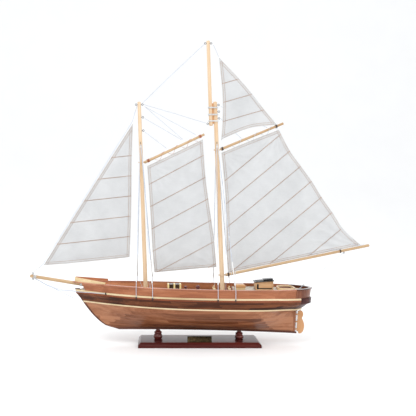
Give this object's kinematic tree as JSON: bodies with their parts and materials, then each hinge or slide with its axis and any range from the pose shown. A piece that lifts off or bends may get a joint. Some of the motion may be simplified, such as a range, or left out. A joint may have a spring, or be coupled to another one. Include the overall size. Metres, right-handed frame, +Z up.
{
  "type": "model sailing ship",
  "caption": "Wooden display model of a gaff-rigged schooner with cloth sails, thread rigging, planked hull, turning rudder and a bevelled stand on turned posts.",
  "frame": {"origin": "centre of the underside of the stand's base", "axes": "-X towards the bow, +X towards the stern, -Y to port, +Z up"},
  "size_m": [0.5969, 0.105, 0.535],
  "materials": {
    "lacquered_mahogany": "high-gloss red-brown lacquer",
    "plate_bronze": "dark antiqued metal",
    "screw_steel": "plain steel",
    "keel_wood": "satin dark brown",
    "frame_ply": "bare plywood",
    "hull_mahogany": "satin varnish over planks",
    "maple_strip": "satin varnished maple",
    "walnut": "satin varnished walnut",
    "bulwark_mahogany": "satin varnish",
    "cap_mahogany": "satin varnish",
    "dark_rail": "gloss dark stain",
    "deck_wood": "pale planked deck",
    "rudder_wood": "satin varnish",
    "rod_metal": "dull metal",
    "skylight_wood": "yellow stained wood",
    "dark_slats": "dark stain",
    "barrel_red": "dark red stain",
    "light_wood": "light bare wood",
    "cabin_wood": "satin varnish",
    "roof_black": "near-black satin paint",
    "coaming_wood": "satin varnish",
    "spar_pine": "light pine, thin varnish",
    "seizing_thread": "grey-white cotton thread",
    "collar_brown": "dark brown band",
    "eye_metal": "blackened brass wire",
    "sailcloth": "off-white cotton with sewn seams",
    "rigging_thread": "grey-blue cotton thread"
  },
  "bodies": {
    "hull": {"stand_base": "lacquered_mahogany", "name_plate": "plate_bronze", "stand_posts": "lacquered_mahogany", "stand_screws": "screw_steel", "keel_backbone": "keel_wood", "bulkhead_frames": "frame_ply", "hull_planking_port": "hull_mahogany", "hull_planking_starboard": "hull_mahogany", "lower_strip": "maple_strip", "walnut_band": "walnut", "upper_strip": "maple_strip", "bulwark_port": "bulwark_mahogany", "bulwark_starboard": "bulwark_mahogany", "stern_bulwark": "cap_mahogany", "cap_rail": "cap_mahogany", "taffrail": "dark_rail", "bow_board_port": "maple_strip", "bow_board_starboard": "maple_strip", "main_deck": "deck_wood", "quarterdeck": "deck_wood", "break_board": "bulwark_mahogany", "mast_steps": "frame_ply", "rudder_rod": "rod_metal", "skylight_frame": "skylight_wood", "skylight_panes": "dark_slats", "deck_bitts": "barrel_red", "deck_box": "light_wood", "deck_box_lid": "light_wood", "cabin_house": "cabin_wood", "cabin_roof": "roof_black", "cabin_hatch": "roof_black", "cockpit_coaming": "coaming_wood", "fife_rail": "light_wood", "bowsprit_chock": "cap_mahogany", "bowsprit": "spar_pine", "foremast": "spar_pine", "mainmast": "spar_pine", "topmast": "spar_pine", "mast_lashings": "seizing_thread", "screw_eyes": "eye_metal", "chainplates": "eye_metal", "jib": "sailcloth", "forestay": "rigging_thread", "bowsprit_stays": "rigging_thread", "shrouds": "rigging_thread", "mast_stays": "rigging_thread", "sail_sheets": "rigging_thread", "mainsheet": "rigging_thread"},
    "rudder": {"rudder": "rudder_wood", "rudder_straps": "rod_metal"},
    "main_rig": {"main_boom": "spar_pine", "main_gaff": "spar_pine", "rig_collars_main": "collar_brown", "mainsail": "sailcloth", "topsail": "sailcloth", "main_halyards": "rigging_thread"},
    "fore_rig": {"fore_gaff": "spar_pine", "rig_collars_fore": "collar_brown", "foresail": "sailcloth", "fore_halyards": "rigging_thread"}
  },
  "joints": [
    {"name": "rudder_turn", "type": "hinge", "parent": "hull", "child": "rudder", "pos_m": [0.1709, 0, 0.0202], "axis": [0.0698, 0, 0.9976], "range_deg": [-35, 35]},
    {"name": "main_rig_swing", "type": "hinge", "parent": "hull", "child": "main_rig", "pos_m": [0.042, 0, 0.098], "axis": [-0.0393, 0, 0.9992], "range_deg": [-8, 8]},
    {"name": "fore_rig_swing", "type": "hinge", "parent": "hull", "child": "fore_rig", "pos_m": [-0.0934, 0, 0.098], "axis": [-0.0349, 0, 0.9994], "range_deg": [-6, 6]}
  ]
}
